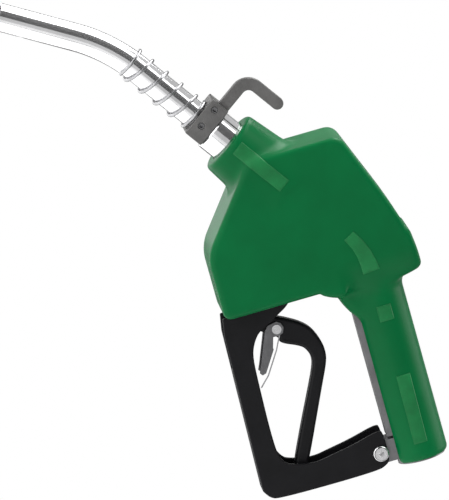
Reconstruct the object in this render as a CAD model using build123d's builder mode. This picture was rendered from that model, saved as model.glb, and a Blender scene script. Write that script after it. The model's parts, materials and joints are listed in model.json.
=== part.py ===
"""Automatic shut-off fuel nozzle, in millimetres.

The origin is the centre of the inlet thread's mouth.  +X runs out of the inlet along the handle,
+Z is up with the hand guard and the lever below, and Y = 0 is the symmetry plane.
"""
from build123d import *
import os
from math import cos, radians, sin, tan

# ---- driving dimensions ------------------------------------------------------------------------
SPOUT_OD = 21.3             # largest spout for unleaded filler necks
SPOUT_WALL = 1.6
SPOUT_SLOPE = 35.0          # spout root below the handle axis, degrees
SPOUT_TURN = 23.8           # bend of the spout, degrees
SPOUT_BEND_R = 130.0
MOUTH_X, MOUTH_Z = -274.0, -77.6    # centre of the cover's mouth, on the spout axis
VERTEX_S = 114.0            # mouth to the corner of the spout's centreline
TIP_RUN = 87.1              # that corner to the tip

GRIP_R = 21.0               # cover over the handle
COVER_HALF = 31.0           # half width of the cover's flat body
COVER_WALL = 2.6
COVER_GAP = 0.3             # cover to casting
HANDLE_BORE_R = 10.0
INLET_R = 12.0              # tapped for a 3/4 inch pipe thread
INLET_DEPTH = 18.0
STRAINER_R = 10.9           # lip of the strainer, seated behind the thread
STRAINER_LIP = 1.3

VALVE_X = -165.0            # main valve and stem axis
PLUNGER_X = -199.0          # latch plunger and diaphragm axis
PIVOT_Z = -98.0             # lever pin on the latch plunger
PLUNGER_DROP = 6.0
YOKE_R = 5.6                # lever round its pin
RUNNING = 0.05              # radial clearance of the sliding fits
SEAT_Z = -22.0              # main valve seat
PASSAGE_Z = -42.0           # outlet passage under the seat

GUARD_HALF = 14.0
GUARD_PLATE = 3.0
LEVER_HALF = 6.0
CLIP_X, CLIP_Z = -126.7, -80.2      # hold-open clip rivet on the lever
RIVET_X, RIVET_Z = -13.5, -29.6     # guard rivet in the handle lug
GUARD_SCREW_X = (-185.0, -155.0)
GUARD_SCREW_Z = -70.0
CAP_SCREW_PCR = 15.2        # pitch radius of the vacuum cap screws
STEM_R = 3.5                # valve stem
PACKING_R = 6.5             # packing box round the stem
PLUNGER_R = 7.0
LATCH_POCKET_R = 9.5
LATCH_PIN_R = 2.5
CAP_SEAT_R = 16.2           # body cap over the main valve
CAP_SHOULDER = 27.0

NOSE_X, NOSE_Z = -cos(radians(SPOUT_SLOPE)), -sin(radians(SPOUT_SLOPE))
NOSE_AXIS = Axis((MOUTH_X, 0, MOUTH_Z), (NOSE_X, 0, NOSE_Z))
VALVE_AXIS = Axis((VALVE_X, 0, 0), (0, 0, 1))
PLUNGER_AXIS = Axis((PLUNGER_X, 0, 0), (0, 0, 1))
HANDLE_AXIS = Axis((0, 0, 0), (1, 0, 0))
LOCK_BACK = 7.0              # spout lock screw behind the mouth
CUT = Mode.SUBTRACT


# ---- places and shared shapes --------------------------------------------------------------------
def nose(along, out):
    """Side-view point at a distance forward of the mouth and a height off the spout axis."""
    return (MOUTH_X + along * NOSE_X + out * NOSE_Z, MOUTH_Z + along * NOSE_Z - out * NOSE_X)


def on_valve(along, out):
    return (VALVE_X + out, along)


def on_plunger(along, out):
    return (PLUNGER_X + out, along)


def on_handle(along, out):
    return (along, out)


def on_lock(along, out):
    return nose(out - LOCK_BACK, along)


LOCK_AXIS = Axis((nose(-LOCK_BACK, 0)[0], 0, nose(-LOCK_BACK, 0)[1]), (NOSE_Z, 0, -NOSE_X))


def cap_screw_places():
    """Plan positions of the vacuum cap screws."""
    turns = [radians(angle) for angle in range(45, 360, 90)]
    return [(PLUNGER_X + CAP_SCREW_PCR * cos(turned), CAP_SCREW_PCR * sin(turned)) for turned in turns]


def turn(axis, place, profile, mode=Mode.ADD):
    """Turn (along, radius) points about an axis of the side view."""
    with BuildSketch(Plane.XZ) as section:
        with BuildLine():
            Polyline(*[place(along, out) for along, out in profile], close=True)
        make_face()
    revolve(section.sketch, axis=axis, mode=mode)


def ring(axis, place, start, end, inner, outer, mode=Mode.ADD):
    turn(axis, place, [(start, inner), (start, outer), (end, outer), (end, inner)], mode)


def rod(axis, place, start, end, radius, mode=Mode.ADD):
    ring(axis, place, start, end, 0, radius, mode)


def plate(points, thick, offset=0.0, mode=Mode.ADD):
    """A flat piece cut from side-view points, centred at a distance in front of the middle."""
    with BuildSketch(Plane.XZ.offset(offset)) as outline:
        with BuildLine():
            Polyline(*points, close=True)
        make_face()
    extrude(outline.sketch, amount=thick / 2, both=True, mode=mode)


def cross_rod(x, z, radius, start, end, mode=Mode.ADD):
    """A rod across the nozzle, between two distances in front of the middle."""
    with BuildSketch(Plane.XZ.offset(start)) as outline:
        with Locations((x, z)):
            Circle(radius)
    extrude(outline.sketch, amount=end - start, mode=mode)


def block(low, high, mode=Mode.ADD):
    """A block from its low corner to its high corner."""
    with Locations(tuple((a + b) / 2 for a, b in zip(low, high))):
        Box(*[b - a for a, b in zip(low, high)], mode=mode)


def coil(start, direction, length, pitch, radius, wire):
    """A spring wound round a line, with its ends cut square to the wire."""
    with BuildLine() as path:
        Helix(pitch, length, radius, center=start, direction=direction)
    with BuildSketch(Plane(origin=path.line @ 0, z_dir=path.line % 0)) as section:
        Circle(wire / 2)
    sweep(section.sketch, path=path.line, is_frenet=True)


def save(piece, name):
    """Label a finished sub-part and write it."""
    piece.part.label = name
    export_step(piece.part, f"parts/{name}.step")
    solids = len(piece.part.solids())
    print(f"{name}: {solids} solids, {piece.part.volume:.0f} mm3, valid {piece.part.is_valid}")


# ---- cover and casting -----------------------------------------------------------------------------
# Corners of the cover's flat body: (x, z), then the way each moves when the shape is drawn in by one wall.
BODY_CORNERS = [
    (-259.0, 3.0, 1.0, -1.3),
    (-178.0, 35.5, 0.3, -1.0),
    (-166.0, 38.0, 0.2, -1.0),
    (-145.0, 38.0, -1.0, -1.0),
    (-139.0, 20.0, -1.0, -1.0),
    (-139.0, -30.0, -1.0, 0.0),
    (-147.0, -44.0, -1.0, 0.0),
    (-147.0, -116.5, -1.0, 1.0),
    (-198.0, -116.5, 0.4, 1.0),
    (-259.0, -69.0, 1.0, 0.5),
]
THROAT_CORNERS = [(-145, -5), (-145, -33), (-134, -30), (-124, -25), (-116, -17), (-112, -5)]
NECK_MOUTH_R = 25.0
NECK_ROOT_R = 29.0
NECK_DEPTH = 52.0
GRIP_START = -165.0
SKIRT_TOP = -76.0           # casting's underside over the lever
SLOT_HALF = 12.0            # half width of the cover's slot along the handle
RIB_Z = -21.5               # bare strip of the casting in that slot
BARREL_R = 16.3
FLANK_START, FLANK_END = (-155.0, 31.0), (-138.0, 20.5)     # flank from the flat side in to the handle
FLANK_LOW = -20.0


def cut_flanks(inset):
    """Cut the block's rear corners back to the flanks, drawn in by a wall."""
    (x0, y0), (x1, y1) = FLANK_START, FLANK_END
    run, rise = x1 - x0, y1 - y0
    length = (run ** 2 + rise ** 2) ** 0.5
    x0, y0 = x0 + rise / length * inset, y0 - run / length * inset
    for side in (-1, 1):
        with BuildSketch(Plane.XY.offset(FLANK_LOW - inset)) as wedge:
            with BuildLine():
                Polyline(
                    (x0 - run, side * (y0 - rise)), (x0 + 2 * run, side * (y0 - rise)),
                    (x0 + 2 * run, side * (y0 + 2 * rise)), close=True,
                )
            make_face()
        extrude(wedge.sketch, amount=80, mode=CUT)


def cover_form(inset, grip_end):
    """The cover's outer shape, or that shape drawn in by a wall."""
    with BuildPart() as form:
        with BuildSketch(Plane.XZ):
            with BuildLine():
                Polyline(*[(x + inset * dx, z + inset * dz) for x, z, dx, dz in BODY_CORNERS], close=True)
            make_face()
        extrude(amount=COVER_HALF - inset, both=True)
        fillet(form.faces().filter_by(Axis.Y).edges(), radius=4.0)
        cut_flanks(inset)
        turn(NOSE_AXIS, nose, [
            (-inset, 0), (-inset, NECK_MOUTH_R - inset),
            (-NECK_DEPTH, NECK_ROOT_R - inset), (-NECK_DEPTH, 0),
        ])
        rod(HANDLE_AXIS, on_handle, GRIP_START, grip_end, GRIP_R - inset)
        plate([(x - inset / 2, z + inset) for x, z in THROAT_CORNERS], 2 * (GRIP_R - 3 - inset))
    return form.part


def make_cover():
    outside = cover_form(0, -0.5)
    inside = cover_form(COVER_WALL, 5.0)
    with BuildPart() as cover:
        add(outside)
        add(inside, mode=Mode.SUBTRACT)
        rod(NOSE_AXIS, nose, 2, -COVER_WALL - 1, BARREL_R + 0.5, CUT)
        # slot along the inner side of the handle, and the way out for the guard and the lever
        block((-146, -SLOT_HALF, -60), (5, SLOT_HALF, -14), CUT)
        block((-152, -14.5, -113.5), (-142, 14.5, -63.5), CUT)
    return cover


def make_body():
    inset = COVER_WALL + COVER_GAP
    outside = cover_form(inset, 0.0)
    with BuildPart() as body:
        add(outside)
        block((-150, -SLOT_HALF + 1, RIB_Z), (-24, SLOT_HALF - 1, 0))
        # skirt: open under the keel for the lever, and beside the keel for the guard plates
        block((-233, -40, -130), (-130, 40, SKIRT_TOP), CUT)
        for side in (-1, 1):
            far = 40 * side
            near = (GUARD_HALF - GUARD_PLATE - 0.2) * side
            low, high = sorted((far, near))
            block((-194, low, -80), (-130, high, -62), CUT)
        rod(PLUNGER_AXIS, on_plunger, -84, -70, 12.5)
        # lug for the guard rivet, with its cheeks between the guard plates
        plate([(-22, -10), (-22, -31), (-19, -36), (-8, -36), (-5, -31), (-5, -10)], 21.6)
        # flow way: handle bore, valve chamber, seat, outlet passage, check valve chamber
        rod(HANDLE_AXIS, on_handle, 1, -150, HANDLE_BORE_R, CUT)
        rod(HANDLE_AXIS, on_handle, 1, -INLET_DEPTH, INLET_R, CUT)
        rod(HANDLE_AXIS, on_handle, 1, -INLET_DEPTH - STRAINER_LIP, STRAINER_R + 0.1, CUT)
        rod(VALVE_AXIS, on_valve, SEAT_Z, 45, 14.5, CUT)
        rod(VALVE_AXIS, on_valve, CAP_SHOULDER, 45, CAP_SEAT_R, CUT)
        rod(VALVE_AXIS, on_valve, PASSAGE_Z, 0, 11, CUT)
        block((-230, -22, PASSAGE_Z - 9), (-154, 22, PASSAGE_Z + 9), CUT)
        rod(PLUNGER_AXIS, on_plunger, PASSAGE_Z - 10, PASSAGE_Z + 10, 12)
        rod(NOSE_AXIS, nose, 1, -20, BARREL_R + 0.1, CUT)
        rod(NOSE_AXIS, nose, 0, -45, 13, CUT)
        rod(NOSE_AXIS, nose, 0, -60, 9.5, CUT)
        rod(LOCK_AXIS, on_lock, 11, 30, 2.05, CUT)
        block((-179, -22, SEAT_Z + 4), (-152, 22, 18), CUT)
        # stem bore and packing box
        rod(VALVE_AXIS, on_valve, -90, PASSAGE_Z, STEM_R + RUNNING, CUT)
        rod(VALVE_AXIS, on_valve, -90, -64, PACKING_R, CUT)
        # plunger guide, latch pocket, pin bore and diaphragm cup
        rod(PLUNGER_AXIS, on_plunger, -90, -36, PLUNGER_R + RUNNING, CUT)
        rod(PLUNGER_AXIS, on_plunger, -70, -36, LATCH_POCKET_R, CUT)
        rod(PLUNGER_AXIS, on_plunger, -40, 0, LATCH_PIN_R + RUNNING, CUT)
        rod(PLUNGER_AXIS, on_plunger, -14, 40, 13, CUT)
        rod(PLUNGER_AXIS, on_plunger, -8, 40, 17.5, CUT)
        for place in cap_screw_places():
            with BuildSketch(Plane.XY.offset(-14)):
                with Locations(place):
                    Circle(1.0)
            extrude(amount=10, mode=CUT)
        # rivet and guard screw holes, spout lock screw hole
        cross_rod(RIVET_X, RIVET_Z, 4.0, -20, 20, CUT)
        for x in GUARD_SCREW_X:
            cross_rod(x, GUARD_SCREW_Z, 3.0, -20, 20, CUT)
    return body


# ---- spout ------------------------------------------------------------------------------------------
BEND_TANGENT = SPOUT_BEND_R * tan(radians(SPOUT_TURN / 2))
TIP_ANGLE = radians(SPOUT_SLOPE + SPOUT_TURN)
TIP_X, TIP_Z = -cos(TIP_ANGLE), -sin(TIP_ANGLE)
CORNER_X, CORNER_Z = nose(VERTEX_S, 0)
SPOUT_R = SPOUT_OD / 2
TUBE_START = -14.0
COLLAR_REAR, COLLAR_FRONT = 15.4, 30.8
PORT_BACK = 20.0            # sensing port behind the tip


def tip(back, out):
    """Side-view point at a distance behind the spout's tip and a height off its axis."""
    along = TIP_RUN - back
    return (CORNER_X + along * TIP_X + out * TIP_Z, CORNER_Z + along * TIP_Z - out * TIP_X)


def spout_line(offset, start, tip_back):
    """Centreline of the spout, or a line beside it on the inside of the bend."""
    with BuildLine(Plane.XZ) as path:
        Line(nose(start, -offset), nose(VERTEX_S - BEND_TANGENT, -offset))
        TangentArc(
            nose(VERTEX_S - BEND_TANGENT, -offset),
            tip(TIP_RUN - BEND_TANGENT, -offset),
            tangent=(NOSE_X, NOSE_Z),
        )
        Line(tip(TIP_RUN - BEND_TANGENT, -offset), tip(tip_back, -offset))
    return path.line


def tube_along(path, outer, inner):
    with BuildSketch(Plane(origin=path @ 0, z_dir=path % 0)) as section:
        Circle(outer)
        Circle(inner, mode=CUT)
    sweep(section.sketch, path=path)


def make_spout():
    with BuildPart() as spout_tube:
        tube_along(spout_line(0, TUBE_START, 0), SPOUT_R, SPOUT_R - SPOUT_WALL)
        port = Axis((tip(PORT_BACK, 0)[0], 0, tip(PORT_BACK, 0)[1]), (-TIP_Z, 0, TIP_X))
        rod(port, lambda along, out: tip(PORT_BACK + out, along), -SPOUT_R - 3, -2, 3.7, CUT)
    save(spout_tube, "spout_tube")

    with BuildPart() as spout_barrel:
        turn(NOSE_AXIS, nose, [
            (15.2, SPOUT_R + 0.1), (15.2, 15.3), (14.2, BARREL_R), (-11, BARREL_R),
            (-11, 14.3), (-14.2, 14.3), (-14.2, BARREL_R), (-19, BARREL_R),
            (-19, 9.0), (TUBE_START - 0.1, 9.0), (TUBE_START - 0.1, SPOUT_R + 0.1),
        ])
        rod(LOCK_AXIS, on_lock, 11, 20, 2.05, CUT)
    save(spout_barrel, "spout_barrel")

    with BuildPart() as spout_lock_screw:
        rod(LOCK_AXIS, on_lock, 11.5, 21.5, 2.0)
    save(spout_lock_screw, "spout_lock_screw")

    with BuildPart() as spout_seal_ring:
        ring(NOSE_AXIS, nose, -13.9, -11.3, 14.4, BARREL_R)
    save(spout_seal_ring, "spout_seal_ring")

    with BuildPart() as sensing_port:
        rod(port, lambda along, out: tip(PORT_BACK + out, along), -SPOUT_R + 0.75, -6.0, 3.6)
        rod(port, lambda along, out: tip(PORT_BACK + out, along), -SPOUT_R, -7.5, 2.4, CUT)
    save(sensing_port, "sensing_port")

    with BuildPart() as vacuum_tube:
        tube_along(spout_line(2.6, -17, PORT_BACK + 17), 2.0, 1.2)
    save(vacuum_tube, "vacuum_tube")

    tip_axis = Axis((tip(0, -2.6)[0], 0, tip(0, -2.6)[1]), (TIP_X, 0, TIP_Z))
    with BuildPart() as ball_holder:
        rod(tip_axis, lambda back, out: tip(back, -2.6 + out), PORT_BACK + 4, PORT_BACK + 17, 3.2)
        rod(tip_axis, lambda back, out: tip(back, -2.6 + out), PORT_BACK + 6, PORT_BACK + 15.5, 2.1, CUT)
        rod(tip_axis, lambda back, out: tip(back, -2.6 + out), PORT_BACK + 2, PORT_BACK + 18, 1.2, CUT)
    save(ball_holder, "ball_holder")

    with BuildPart() as attitude_ball:
        centre_x, centre_z = tip(PORT_BACK + 8.1, -2.6)
        with Locations((centre_x, 0, centre_z)):
            Sphere(2.0)
    save(attitude_ball, "attitude_ball")


def make_anchor_spring():
    x, z = nose(95.0, 0)
    with BuildPart() as anchor_spring:
        coil((x, 0, z), (-NOSE_X, 0, -NOSE_Z), 62.0, 12.4, SPOUT_R + 1.5, 2.4)
    save(anchor_spring, "anchor_spring")


def make_collar():
    low, high, half = -14.0, 19.0, 15.0
    with BuildPart() as collar:
        corners = [(COLLAR_REAR, low), (COLLAR_REAR, high), (COLLAR_FRONT, high), (COLLAR_FRONT, low)]
        plate([nose(*corner) for corner in corners], 2 * half)
        chamfer(collar.edges().filter_by(Axis.Y), length=0.6)
        rod(NOSE_AXIS, nose, 10, 35, SPOUT_R + 0.1, CUT)
        plate([nose(10, 10), nose(10, 30), nose(29.1, 30), nose(29.1, 10)], 6.2, 8.0, CUT)
        for _, height in COLLAR_SCREWS:
            cross_rod(*nose(24.5, height), 2.5, 7, 16, CUT)
    save(collar, "collar")

    hook_half = 4.65
    bend = 9.8
    with BuildPart() as hook:
        with BuildSketch(Plane.XZ.offset(8.0)) as outline:
            with BuildLine():
                FilletPolyline(*[nose(*point) for point in HOOK_SPINE], radius=bend)
            trace(line_width=2 * hook_half)
            with Locations(nose(*HOOK_SPINE[-1])):
                Circle(hook_half)
        extrude(outline.sketch, amount=3.0, both=True)
        plate([nose(15.4, 10.2), nose(15.4, 18), nose(29, 18), nose(29, 10.2)], 6.0, 8.0)
    save(hook, "hang_up_hook")

    with BuildPart() as set_screws:
        for reach, height in COLLAR_SCREWS:
            cross_rod(*nose(24.5, height), 2.45, reach, 14.4)
            cross_rod(*nose(24.5, height), 1.3, 12.4, 15, CUT)
    save(set_screws, "collar_set_screws")


HOOK_SPINE = [(20.05, 12.0), (20.05, 46.3), (-9.8, 46.3)]
COLLAR_SCREWS = [(11.05, 13.2), (10.8, -2.4)]    # how far in each reaches, and its height off the axis


# ---- valves and latch ---------------------------------------------------------------------------------
STEM_TIP = -91.5
CAP_TOP = 30.8
LATCH_Z = -62.0             # latch ball centres with the plunger home
BALL_R = 2.4
BALL_OUT = 6.1              # ball centre off the plunger axis when latched
BALL_IN = 4.6               # and when the plunger is right down


def make_main_valve():
    with BuildPart() as body_cap:
        turn(VALVE_AXIS, on_valve, [
            (20, 11.5), (20, 14.4), (27.5, 14.4), (27.5, 16.0),
            (CAP_TOP, 16.0), (CAP_TOP, 0), (24, 0), (24, 11.5),
        ])
        rod(VALVE_AXIS, on_valve, 28, 40, 5.0, CUT)
    save(body_cap, "body_cap")
    with BuildPart() as cap_seal:
        ring(VALVE_AXIS, on_valve, 27.05, 27.45, 14.45, 16.0)
    save(cap_seal, "cap_seal")
    with BuildPart() as main_seal:
        ring(VALVE_AXIS, on_valve, SEAT_Z, SEAT_Z + 3, 3.6, 12.9)
    save(main_seal, "main_seal")
    with BuildPart() as main_poppet:
        turn(VALVE_AXIS, on_valve, [
            (SEAT_Z + 3, 3.6), (SEAT_Z + 3, 13.2), (SEAT_Z + 7, 13.2), (SEAT_Z + 8, 12.2), (SEAT_Z + 8, 6.6),
            (SEAT_Z + 13, 6.2), (SEAT_Z + 13, 3.6),
        ])
    save(main_poppet, "main_poppet")
    with BuildPart() as valve_stem:
        turn(VALVE_AXIS, on_valve, [
            (STEM_TIP + STEM_R, 0), (STEM_TIP + STEM_R, STEM_R), (SEAT_Z - 1, STEM_R),
            (SEAT_Z + 13, STEM_R), (SEAT_Z + 14, STEM_R - 1), (SEAT_Z + 14, 0),
        ])
        with Locations((VALVE_X, 0, STEM_TIP + STEM_R)):
            Sphere(STEM_R)
    save(valve_stem, "valve_stem")
    with BuildPart() as stem_nut:
        ring(VALVE_AXIS, on_valve, SEAT_Z + 14.1, SEAT_Z + 16.6, 2.6, 5.0)
        rod(VALVE_AXIS, on_valve, SEAT_Z + 14.1, SEAT_Z + 15.0, 2.6)
    save(stem_nut, "stem_nut")
    with BuildPart() as main_spring:
        coil((VALVE_X, 0, SEAT_Z + 9.4), (0, 0, 1), 34.8, 5.8, 8.6, 1.9)
    save(main_spring, "main_spring")
    with BuildPart() as stem_packing:
        ring(VALVE_AXIS, on_valve, -71.5, -64, STEM_R + RUNNING, PACKING_R - RUNNING)
    save(stem_packing, "stem_packing")
    with BuildPart() as packing_nut:
        ring(VALVE_AXIS, on_valve, -76, -71.6, STEM_R + RUNNING, PACKING_R - RUNNING)
        with BuildSketch(Plane.XY.offset(SKIRT_TOP - 4.2)) as hexagon:
            with Locations((VALVE_X, 0)):
                RegularPolygon(8.5, 6)
                Circle(STEM_R + RUNNING, mode=CUT)
        extrude(hexagon.sketch, amount=4.2)
    save(packing_nut, "packing_nut")


def make_latch():
    with BuildPart() as plunger:
        rod(PLUNGER_AXIS, on_plunger, -89.6, -38, PLUNGER_R)
        rod(PLUNGER_AXIS, on_plunger, -76, -37, 3.8, CUT)
        block((PLUNGER_X - 6, -4, -102.5), (PLUNGER_X + 6, 4, -89))
        chamfer(plunger.edges().filter_by(Axis.Y).group_by(Axis.Z)[0], length=3.5)
        cross_rod(PLUNGER_X, PIVOT_Z, 2.5, -10, 10, CUT)
        for turn_to in range(0, 360, 120):
            outward = (cos(radians(turn_to)), sin(radians(turn_to)), 0)
            with BuildSketch(Plane((PLUNGER_X, 0, LATCH_Z), z_dir=outward)) as hole:
                Circle(BALL_R + RUNNING)
            extrude(hole.sketch, amount=9, mode=CUT)
    save(plunger, "latch_plunger")
    for number, turn_to in enumerate(range(0, 360, 120), start=1):
        with BuildPart() as ball:
            with Locations((
                PLUNGER_X + BALL_OUT * cos(radians(turn_to)), BALL_OUT * sin(radians(turn_to)), LATCH_Z
            )):
                Sphere(BALL_R)
        save(ball, f"latch_ball_{number}")
    lead = (BALL_OUT - BALL_IN) / PLUNGER_DROP
    ring_bottom = LATCH_Z - PLUNGER_DROP - 0.1
    with BuildPart() as latch_ring:
        turn(PLUNGER_AXIS, on_plunger, [
            (ring_bottom, PLUNGER_R + 0.1), (ring_bottom, LATCH_POCKET_R - RUNNING),
            (LATCH_Z, LATCH_POCKET_R - RUNNING), (LATCH_Z, PLUNGER_R + 0.1 + lead * PLUNGER_DROP),
        ])
    save(latch_ring, "latch_ring")
    with BuildPart() as latch_pin:
        turn(PLUNGER_AXIS, on_plunger, [
            (-73, 0), (-73, 1.6), (LATCH_Z - PLUNGER_DROP, 2.1), (LATCH_Z, 3.6), (-58, 3.6),
            (-57, LATCH_PIN_R), (-4.0, LATCH_PIN_R), (-4.0, 0),
        ])
    save(latch_pin, "latch_pin")
    with BuildPart() as spring_seat:
        ring(PLUNGER_AXIS, on_plunger, -57, -55.6, PLUNGER_R + 0.1, LATCH_POCKET_R - RUNNING)
    save(spring_seat, "plunger_spring_seat")
    with BuildPart() as plunger_spring:
        coil((PLUNGER_X, 0, -54.9), (0, 0, 1), 12.0, 3.4, 8.25, 1.2)
    save(plunger_spring, "plunger_spring")
    with BuildPart() as plunger_collar:
        ring(PLUNGER_AXIS, on_plunger, -42.2, -39.6, PLUNGER_R, LATCH_POCKET_R - 0.2)
    save(plunger_collar, "plunger_collar")

    with BuildPart() as diaphragm:
        turn(PLUNGER_AXIS, on_plunger, [
            (-8, 4.8), (-8, 8.5), (-10.5, 9.5), (-10.5, 11), (-8, 12), (-8, 17.3),
            (-7, 17.3), (-7, 11.5), (-9.5, 10.6), (-9.5, 9.9), (-7, 9), (-7, 4.8),
        ])
        for x, y in cap_screw_places():
            with Locations((x, y, -8)):
                Cylinder(1.1, 6, mode=CUT)
    save(diaphragm, "diaphragm")
    with BuildPart() as diaphragm_plate:
        turn(PLUNGER_AXIS, on_plunger, [
            (-8.5, LATCH_PIN_R), (-8.5, 4.6), (-6.9, 4.6), (-6.9, 8.5), (-5.4, 8.5), (-5.4, LATCH_PIN_R),
        ])
    save(diaphragm_plate, "diaphragm_plate")
    with BuildPart() as diaphragm_spring:
        coil((PLUNGER_X, 0, -4.9), (0, 0, 1), 8.6, 2.6, 5.4, 0.9)
    save(diaphragm_spring, "diaphragm_spring")
    with BuildPart() as vacuum_cap:
        turn(PLUNGER_AXIS, on_plunger, [
            (-6.9, 11.5), (-6.9, 17.3), (-4, 17.3), (-2, 15), (-2, 13), (7.0, 11.5),
            (8.5, 10), (8.5, 0), (5.5, 0), (5.5, 11),
        ])
        for x, y in cap_screw_places():
            with Locations((x, y, -4)):
                Cylinder(1.1, 10, mode=CUT)
    save(vacuum_cap, "vacuum_cap")
    with BuildPart() as cap_screws:
        for x, y in cap_screw_places():
            with Locations((x, y, -7.5)):
                Cylinder(0.95, 11)
            with Locations((x, y, -1.0)):
                Cylinder(1.7, 2)
    save(cap_screws, "vacuum_cap_screws")


def make_check_valve():
    with BuildPart() as check_seat:
        turn(NOSE_AXIS, nose, [(-44.9, 8), (-44.9, 12.95), (-41, 12.95), (-41, 10), (-42, 8)])
    save(check_seat, "check_seat")
    with BuildPart() as check_poppet:
        turn(NOSE_AXIS, nose, [
            (-42.3, 0), (-42.3, 7.2), (-40.9, 9.8), (-38.5, 9.8), (-37, 7), (-36, 2.0), (-23, 2.0), (-23, 0),
        ])
    save(check_poppet, "check_poppet")
    with BuildPart() as check_guide:
        ring(NOSE_AXIS, nose, -23, -20.2, 10.5, 12.95)
        ring(NOSE_AXIS, nose, -27, -20.2, 2.0 + RUNNING, 3.6)
        x, z = nose(-20.2, 0)
        with BuildSketch(Plane(origin=(x, 0, z), x_dir=(0, 1, 0), z_dir=(-NOSE_X, 0, -NOSE_Z))) as spokes:
            with PolarLocations(7.1, 3):
                Rectangle(8.0, 1.8)
        extrude(spokes.sketch, amount=2.8)
    save(check_guide, "check_guide")
    x, z = nose(-36.0, 0)
    with BuildPart() as check_spring:
        coil((x, 0, z), (NOSE_X, 0, NOSE_Z), 12.0, 3.0, 4.6, 0.8)
    save(check_spring, "check_spring")


# ---- guard, lever and hold-open clip ------------------------------------------------------------------
PIN_R = 2.5
GUARD_OUTLINE = [
    (-192, -64), (-147, -64), (-142, -69), (-138, -76.5), (-131.5, -88), (-129, -93.5), (-124, -98),
    (-115, -102.5), (-100, -104), (-37, -106), (-27.6, -101.7), (-24.6, -97), (-20.5, -80),
    (-23.1, -65), (-25.7, -49), (-31.4, -26), (-28, -24), (-8, -24), (-4, -27), (-1, -36), (-1.5, -113),
    (-4.5, -119.5), (-10.5, -123.2), (-134, -119.7), (-146.5, -117.5), (-146.5, -113), (-170, -112),
    (-192, -84),
]
GUARD_CHANNEL = [       # what is open between the two side plates
    (-200, -50), (-200, -130), (-104, -130), (-104, -117.5), (-11, -120.1), (-6.8, -117.5),
    (-4.6, -112.5), (-4, -37), (10, -30), (10, -10), (-40, -10),
]


def make_guard():
    channel_half = GUARD_HALF - GUARD_PLATE
    with BuildPart() as guard:
        plate(GUARD_OUTLINE, 2 * GUARD_HALF)
        fillet(guard.faces().filter_by(Axis.Y).edges(), radius=0.8)
        plate(GUARD_CHANNEL, 2 * channel_half, mode=CUT)
        cross_rod(RIVET_X, RIVET_Z, 4.05, -20, 20, CUT)
        for x in GUARD_SCREW_X:
            cross_rod(x, GUARD_SCREW_Z, 3.1, -20, 20, CUT)
    save(guard, "hand_guard")

    with BuildPart() as guard_rivet:
        cross_rod(RIVET_X, RIVET_Z, 4.0, -14.2, 14.2)
        for side in (-1, 1):
            with BuildSketch(Plane.XZ.offset(side * 14.1)) as head:
                with Locations((RIVET_X, RIVET_Z)):
                    Circle(6.2)
            extrude(head.sketch, amount=side * 2.6, taper=28)
    save(guard_rivet, "guard_rivet")

    with BuildPart() as guard_screws:
        for x in GUARD_SCREW_X:
            cross_rod(x, GUARD_SCREW_Z, 2.95, -14.2, 14.2)
            cross_rod(x, GUARD_SCREW_Z, 4.5, 14.1, 17.2)
            cross_rod(x, GUARD_SCREW_Z, 4.5, -17.2, -14.1)
    save(guard_screws, "guard_screws")


LEVER_OUTLINE = [
    (PLUNGER_X, PIVOT_Z + YOKE_R), (-185, -91.7), (-150, -92), (-143, -90), (-138, -83),
    (-134.6, -76.1), (-131, -69.1), (-125.4, -60.3), (-118.9, -54.1), (-107.2, -49.4), (-98.2, -48.7),
    (-90.7, -50.4), (-73.1, -58.9), (-16, -85.6), (-12.4, -90.4), (-14.6, -96), (-20.2, -95.6),
    (-51.2, -80.9), (-68.7, -72.1), (-89.8, -61.7), (-97.4, -60.1), (-104.3, -62.2), (-108.5, -65.8),
    (-115, -80.8), (-119.5, -79.8), (-124, -88), (-134, -99), (-146, -104),
    (PLUNGER_X, PIVOT_Z - YOKE_R),
]


def make_lever():
    with BuildPart() as lever:
        plate(LEVER_OUTLINE, 2 * LEVER_HALF)
        fillet(lever.faces().filter_by(Axis.Y).edges(), radius=3.2)
        with BuildSketch(Plane.XZ) as yoke:
            with BuildLine():
                top, low = (PLUNGER_X, PIVOT_Z + YOKE_R), (PLUNGER_X, PIVOT_Z - YOKE_R)
                Polyline(top, (-172, -92), (-172, -104), low)
                ThreePointArc(low, (PLUNGER_X - YOKE_R, PIVOT_Z), top)
            make_face()
        extrude(yoke.sketch, amount=8.5, both=True)
        block((PLUNGER_X - 9, -4.3, -107), (PLUNGER_X + 11, 4.3, -88), CUT)
        cross_rod(PLUNGER_X, PIVOT_Z, PIN_R + RUNNING, -10, 10, CUT)
        cross_rod(CLIP_X, CLIP_Z, PIN_R, -10, 10, CUT)
    save(lever, "lever")

    with BuildPart() as lever_pin:
        cross_rod(PLUNGER_X, PIVOT_Z, PIN_R, -10.4, 9.9)
        cross_rod(PLUNGER_X, PIVOT_Z, 4.0, 8.8, 10.4)
    save(lever_pin, "lever_pin")
    with BuildPart() as pin_clip:
        cross_rod(PLUNGER_X, PIVOT_Z, 4.2, -9.7, -8.8)
        cross_rod(PLUNGER_X, PIVOT_Z, PIN_R, -10, -8, CUT)
    save(pin_clip, "lever_pin_ring")


CLIP_PLATE = [
    (-132.4, -78.8), (-131.2, -86), (-127.7, -89), (-101.7, -99.3), (-97.5, -101.2), (-95.4, -99.6),
    (-96.0, -97.6), (-113.5, -86.5), (-121.5, -84.2), (-121.2, -79.8), (-122.6, -76.2), (-126.4, -74.6),
    (-130.4, -75.8),
]


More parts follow.
